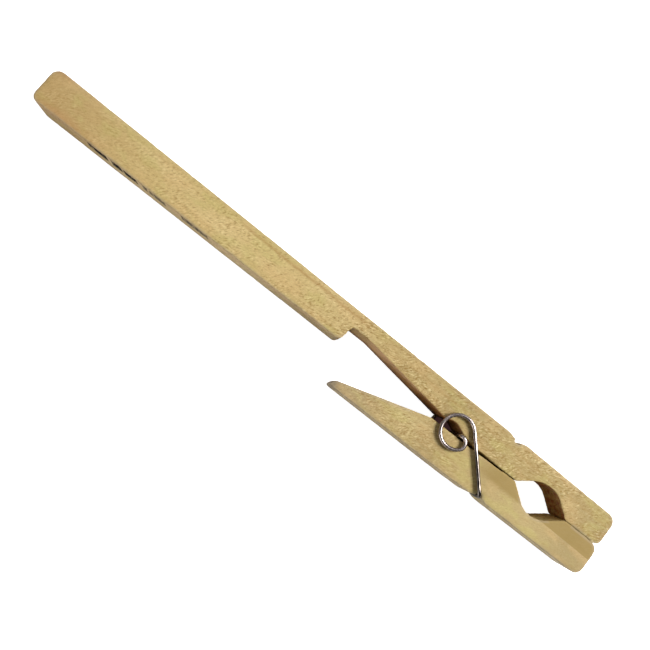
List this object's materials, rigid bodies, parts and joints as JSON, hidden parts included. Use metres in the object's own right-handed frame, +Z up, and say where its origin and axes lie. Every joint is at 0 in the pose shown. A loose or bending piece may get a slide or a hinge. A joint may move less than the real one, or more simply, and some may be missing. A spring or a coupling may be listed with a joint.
{
  "type": "long-handled clothespin",
  "caption": "Long-handled wooden spring clip: a bent-wire torsion spring holds the jaws shut on cloth at the tips or on a test tube in the diamond-shaped hole; the thumb lever opens them.",
  "frame": {"origin": "middle of the footprint, on the plane that the object rests on when it lies on its side", "axes": "+X along the handle towards the jaw tips, +Y across the arms from the short arm to the long arm's back, +Z up, square to the side faces and along the jaw pivot"},
  "size_m": [0.18, 0.0192, 0.0147],
  "materials": {
    "beech": "bare sanded beech with short dark flecks and tumbled edges",
    "spring_steel": "bright drawn steel wire"
  },
  "bodies": {
    "long_arm": {"long_arm": "beech", "spring": "spring_steel"},
    "short_arm": {"short_arm": "beech"}
  },
  "joints": [
    {"name": "jaw_pivot", "type": "hinge", "parent": "long_arm", "child": "short_arm", "pos_m": [0.0452, 0.001, 0.00735], "axis": [0, 0, -1], "range_deg": [0, 16], "stiffness_Nm_per_rad": 0.25, "springref_deg": -40.11, "deforming": ["spring"]}
  ]
}
